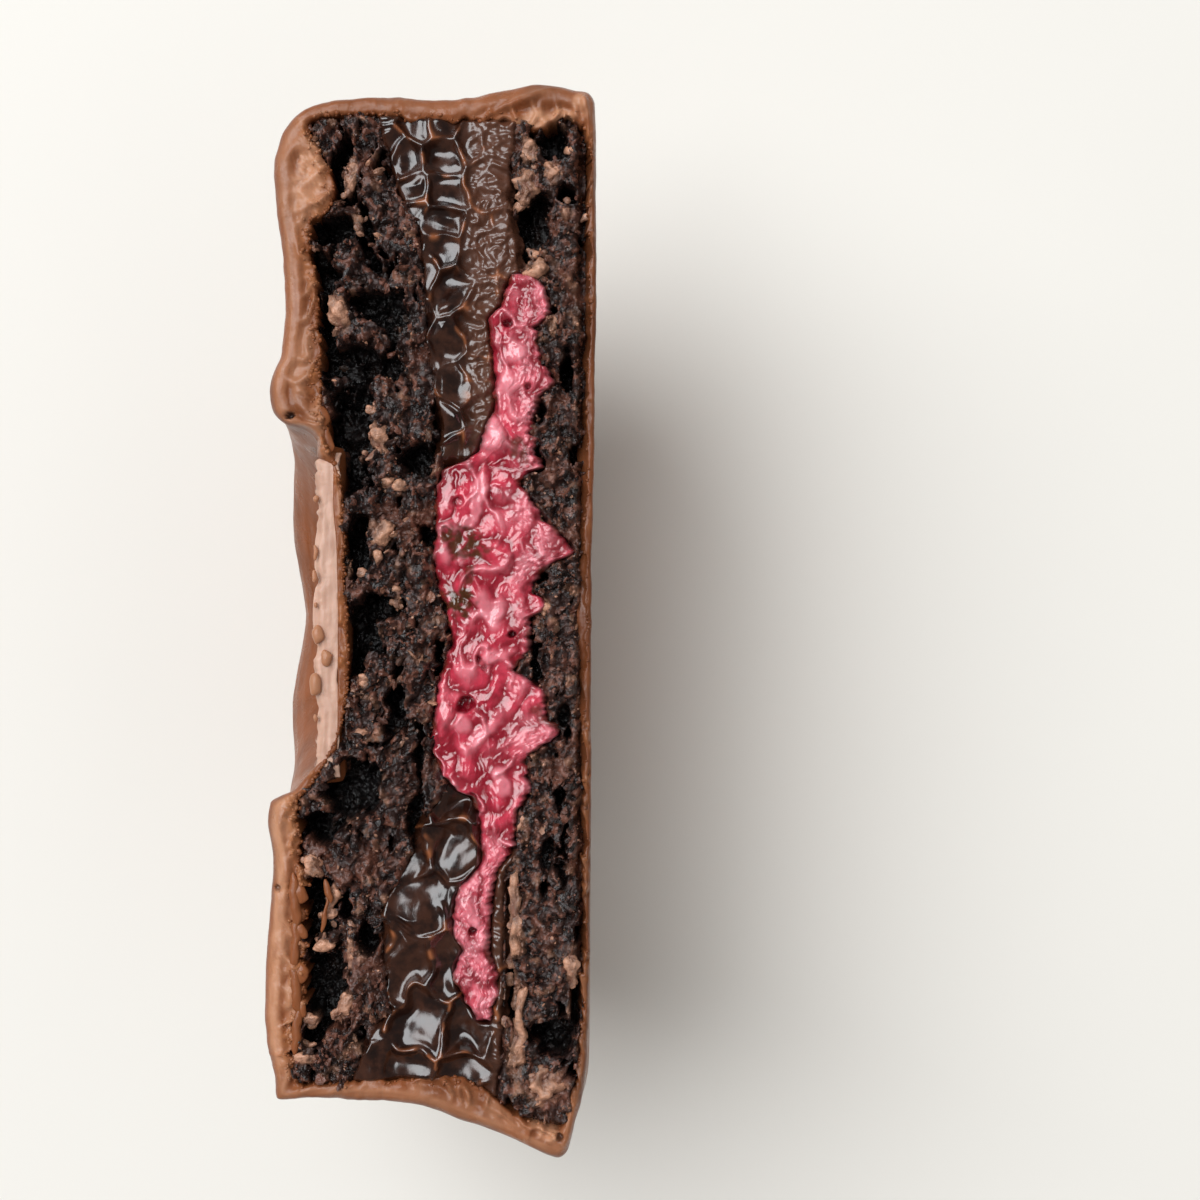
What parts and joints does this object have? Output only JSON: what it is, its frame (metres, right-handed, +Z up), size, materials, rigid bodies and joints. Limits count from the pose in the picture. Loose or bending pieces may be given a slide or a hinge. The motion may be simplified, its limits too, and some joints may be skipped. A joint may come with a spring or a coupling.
{
  "type": "half of a chocolate-coated alfajor",
  "caption": "Half of a chocolate-coated alfajor with cocoa biscuits, chocolate and berry filling and a medallion in a dimple, standing cut face up.",
  "frame": {"origin": "on the floor, under the middle of the part's box", "axes": "+Z up out of the cut face; +Y along the cut face's long side; +X along the biscuit's own axis, from its top face with the medallion to its flat base"},
  "size_m": [0.0204, 0.066, 0.0323],
  "materials": {
    "coating": "satin milk chocolate",
    "upper_biscuit": "moist dark cocoa crumb",
    "chocolate_filling": "wet glossy dark chocolate cream",
    "berry_filling": "wet pink berry filling",
    "lower_biscuit": "dark cocoa crumb",
    "medallion": "satin milk chocolate"
  },
  "bodies": {
    "root": {"coating": "coating", "upper_biscuit": "upper_biscuit", "chocolate_filling": "chocolate_filling", "berry_filling": "berry_filling", "lower_biscuit": "lower_biscuit", "medallion": "medallion"}
  },
  "joints": []
}
